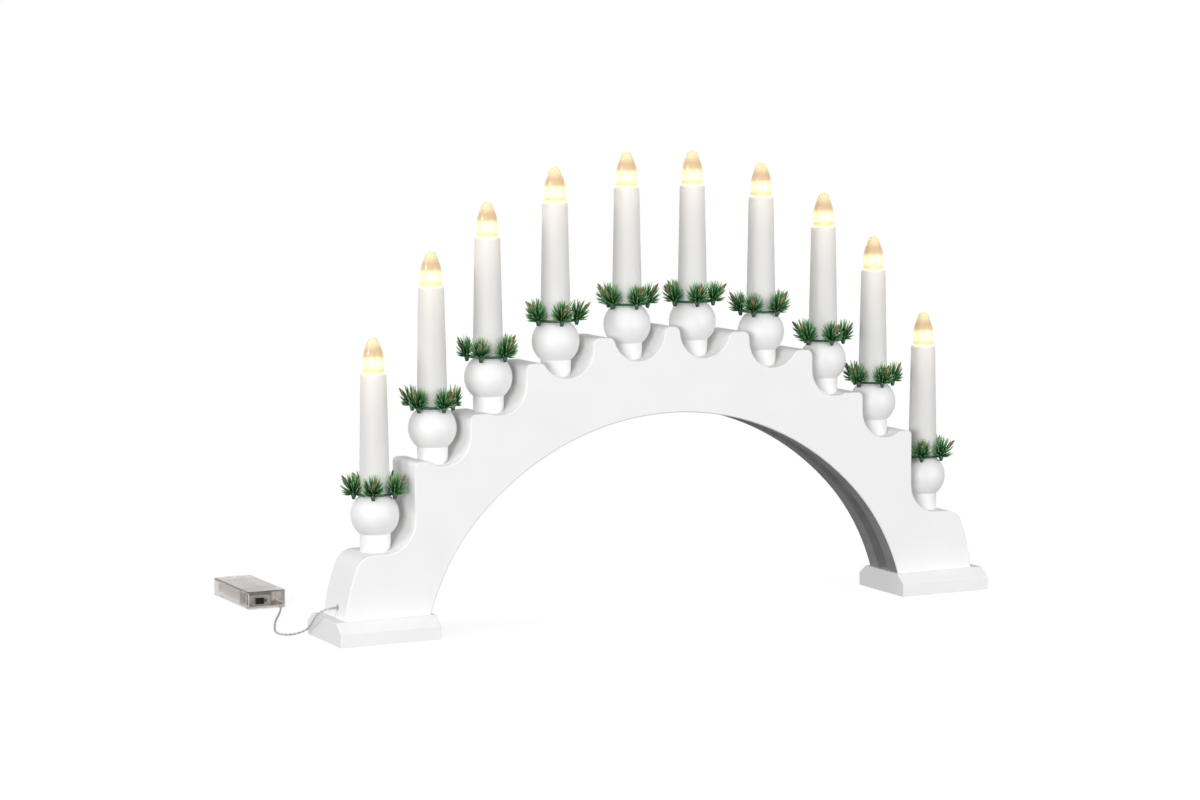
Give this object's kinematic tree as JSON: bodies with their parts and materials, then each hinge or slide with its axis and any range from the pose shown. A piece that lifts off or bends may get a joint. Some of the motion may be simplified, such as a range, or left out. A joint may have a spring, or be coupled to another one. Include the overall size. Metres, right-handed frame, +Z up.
{
  "type": "candle arch",
  "caption": "Painted wooden arch on two feet, with a stepped row of electric candles in ball cups, loose evergreen rings and a small battery box on a thin lead.",
  "frame": {"origin": "on the surface the arch stands on, under the middle of the arch (middle of the arch's own box, without the lead and what is on it)", "axes": "X along the arch, Y from the front face to the back face, Z up"},
  "size_m": [0.5194, 0.2365, 0.3187],
  "materials": {
    "white_paint": "matte white paint on smooth board and turned wood",
    "candle_plastic": "satin off-white moulded plastic",
    "flame_plastic": "clear moulded plastic, lit warm from inside",
    "evergreen_plastic": "dark green moulded needles with brown buds",
    "zinc_screw": "zinc-plated steel",
    "led_resin": "clear moulded resin",
    "lead_plastic": "grey-white soft insulation, twisted pair",
    "case_plastic": "milky warm-grey translucent moulded plastic",
    "black_plastic": "black moulded plastic",
    "switch_metal": "tinned sheet steel",
    "board_laminate": "brown circuit laminate",
    "cell_jacket": "plain metallic jacket",
    "spring_steel": "nickel-plated spring wire and sheet"
  },
  "bodies": {
    "arch": {"arch_board": "white_paint", "left_foot": "white_paint", "right_foot": "white_paint", "foot_screws": "zinc_screw", "candle_cup_01": "white_paint", "candle_sleeve_01": "candle_plastic", "flame_bulb_01": "flame_plastic", "candle_cup_02": "white_paint", "candle_sleeve_02": "candle_plastic", "flame_bulb_02": "flame_plastic", "candle_cup_03": "white_paint", "candle_sleeve_03": "candle_plastic", "flame_bulb_03": "flame_plastic", "candle_cup_04": "white_paint", "candle_sleeve_04": "candle_plastic", "flame_bulb_04": "flame_plastic", "candle_cup_05": "white_paint", "candle_sleeve_05": "candle_plastic", "flame_bulb_05": "flame_plastic", "candle_cup_06": "white_paint", "candle_sleeve_06": "candle_plastic", "flame_bulb_06": "flame_plastic", "candle_cup_07": "white_paint", "candle_sleeve_07": "candle_plastic", "flame_bulb_07": "flame_plastic", "candle_cup_08": "white_paint", "candle_sleeve_08": "candle_plastic", "flame_bulb_08": "flame_plastic", "candle_cup_09": "white_paint", "candle_sleeve_09": "candle_plastic", "flame_bulb_09": "flame_plastic", "candle_cup_10": "white_paint", "candle_sleeve_10": "candle_plastic", "flame_bulb_10": "flame_plastic", "led_units": "led_resin", "wiring_harness": "lead_plastic", "supply_lead": "lead_plastic", "battery_case": "case_plastic", "switch_body": "switch_metal", "circuit_board": "board_laminate", "battery_cells": "cell_jacket", "contact_springs": "spring_steel", "contact_plates": "spring_steel"},
    "ring_01": {"wreath_01": "evergreen_plastic"},
    "ring_02": {"wreath_02": "evergreen_plastic"},
    "ring_03": {"wreath_03": "evergreen_plastic"},
    "ring_04": {"wreath_04": "evergreen_plastic"},
    "ring_05": {"wreath_05": "evergreen_plastic"},
    "ring_06": {"wreath_06": "evergreen_plastic"},
    "ring_07": {"wreath_07": "evergreen_plastic"},
    "ring_08": {"wreath_08": "evergreen_plastic"},
    "ring_09": {"wreath_09": "evergreen_plastic"},
    "ring_10": {"wreath_10": "evergreen_plastic"},
    "box_cover": {"battery_cover": "case_plastic"},
    "knob": {"switch_knob": "black_plastic"}
  },
  "joints": [
    {"name": "wreath_01_lift", "type": "slide", "parent": "arch", "child": "ring_01", "axis": [0, 0, 1], "range_m": [0, 0.108]},
    {"name": "wreath_02_lift", "type": "slide", "parent": "arch", "child": "ring_02", "axis": [0, 0, 1], "range_m": [0, 0.108]},
    {"name": "wreath_03_lift", "type": "slide", "parent": "arch", "child": "ring_03", "axis": [0, 0, 1], "range_m": [0, 0.108]},
    {"name": "wreath_04_lift", "type": "slide", "parent": "arch", "child": "ring_04", "axis": [0, 0, 1], "range_m": [0, 0.108]},
    {"name": "wreath_05_lift", "type": "slide", "parent": "arch", "child": "ring_05", "axis": [0, 0, 1], "range_m": [0, 0.108]},
    {"name": "wreath_06_lift", "type": "slide", "parent": "arch", "child": "ring_06", "axis": [0, 0, 1], "range_m": [0, 0.108]},
    {"name": "wreath_07_lift", "type": "slide", "parent": "arch", "child": "ring_07", "axis": [0, 0, 1], "range_m": [0, 0.108]},
    {"name": "wreath_08_lift", "type": "slide", "parent": "arch", "child": "ring_08", "axis": [0, 0, 1], "range_m": [0, 0.108]},
    {"name": "wreath_09_lift", "type": "slide", "parent": "arch", "child": "ring_09", "axis": [0, 0, 1], "range_m": [0, 0.108]},
    {"name": "wreath_10_lift", "type": "slide", "parent": "arch", "child": "ring_10", "axis": [0, 0, 1], "range_m": [0, 0.108]},
    {"name": "battery_cover_slide", "type": "slide", "parent": "arch", "child": "box_cover", "axis": [0, 1, 0], "range_m": [0, 0.06]},
    {"name": "switch_slide", "type": "slide", "parent": "arch", "child": "knob", "axis": [1, 0, 0], "range_m": [0, 0.004]}
  ]
}
